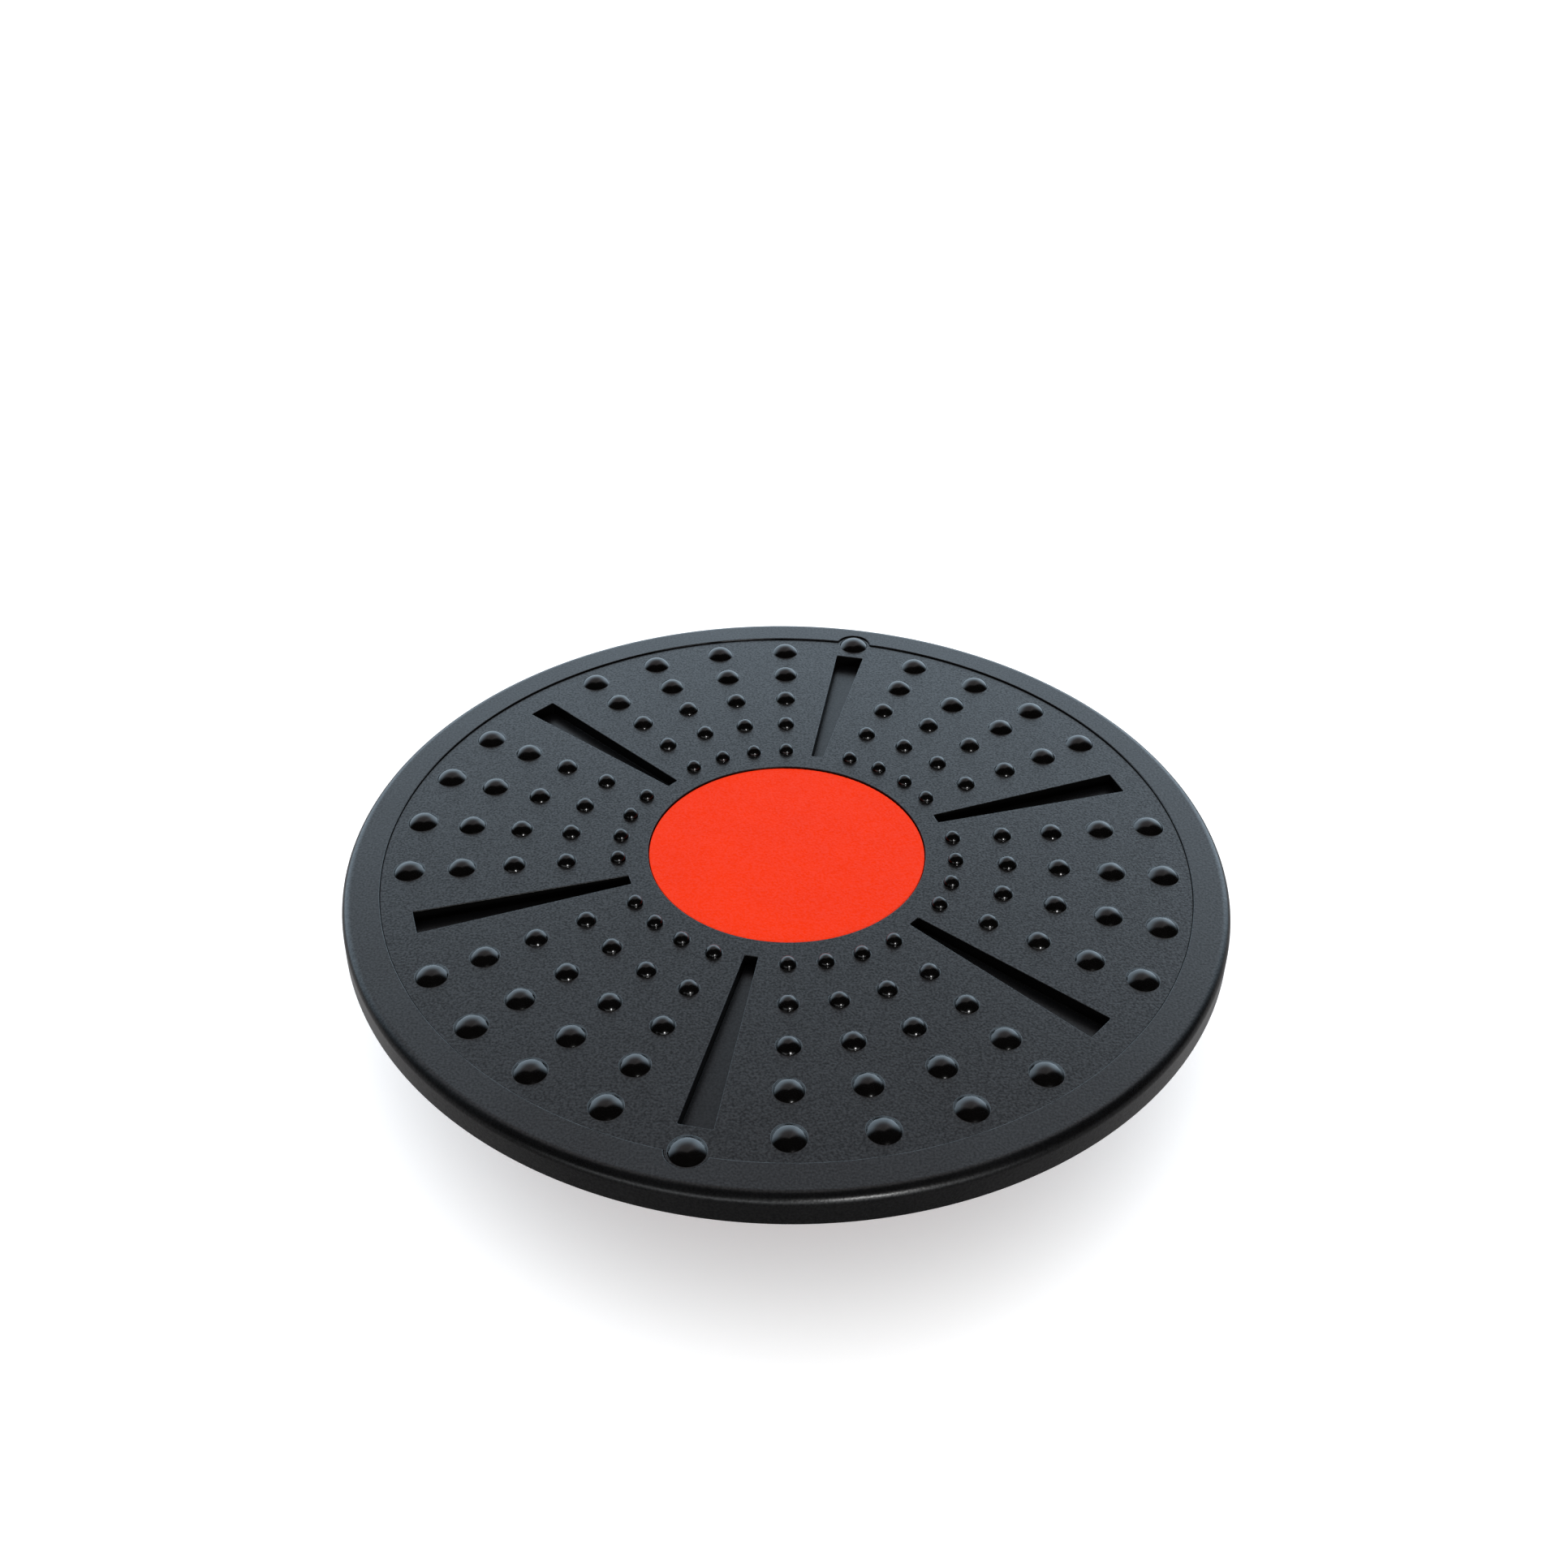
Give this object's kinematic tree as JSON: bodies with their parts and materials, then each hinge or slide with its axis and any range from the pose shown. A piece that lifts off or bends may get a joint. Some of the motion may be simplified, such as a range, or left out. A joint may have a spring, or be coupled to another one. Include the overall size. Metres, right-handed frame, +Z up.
{
  "type": "wobble board",
  "caption": "Round moulded wobble board: a deck with massage domes and wedge slots turns on a ball race over a domed rocker with a flat rubber foot.",
  "frame": {"origin": "on the floor, under the centre of the foot pad, which is also the spin axis", "axes": "+Z up along the spin axis; -Y is the side the picture was taken from, +X to its right"},
  "size_m": [0.3971, 0.3972, 0.0768],
  "materials": {
    "charcoal_moulding": "fine spark grain, the domes and slots polished",
    "red_cap": "fine matt grain",
    "red_moulding": "satin",
    "black_moulding": "satin",
    "nylon": "satin, natural colour",
    "black_rubber": "dull",
    "zinc_plate": "zinc plated",
    "screw_steel": "zinc plated",
    "ball_steel": "polished"
  },
  "bodies": {
    "base": {"rocker_dome": "red_moulding", "rocker_lid": "black_moulding", "lid_screws": "screw_steel", "lower_race_plate": "zinc_plate", "lower_race_screws": "screw_steel", "dust_ring": "black_rubber", "hub_thrust_washer": "nylon", "king_bolt": "screw_steel", "king_thrust_washer": "nylon", "king_nut_washer": "zinc_plate", "king_lock_nut": "screw_steel", "foot_pad": "black_rubber"},
    "cage": {"ball_cage": "nylon", "bearing_balls": "ball_steel"},
    "deck": {"deck_plate": "charcoal_moulding", "center_cap": "red_cap", "upper_race_plate": "zinc_plate", "upper_race_screws": "screw_steel", "hub_bush": "nylon"}
  },
  "joints": [
    {"name": "deck_spin", "type": "hinge", "parent": "base", "child": "deck", "pos_m": [0, 0, 0.0612], "axis": [0, 0, 1], "continuous": true},
    {"name": "cage_spin", "type": "hinge", "parent": "base", "child": "cage", "pos_m": [0, 0, 0.0612], "axis": [0, 0, 1], "continuous": true}
  ],
  "couplings": [
    {"joint": "cage_spin", "follows": "deck_spin", "ratio": 0.5}
  ]
}
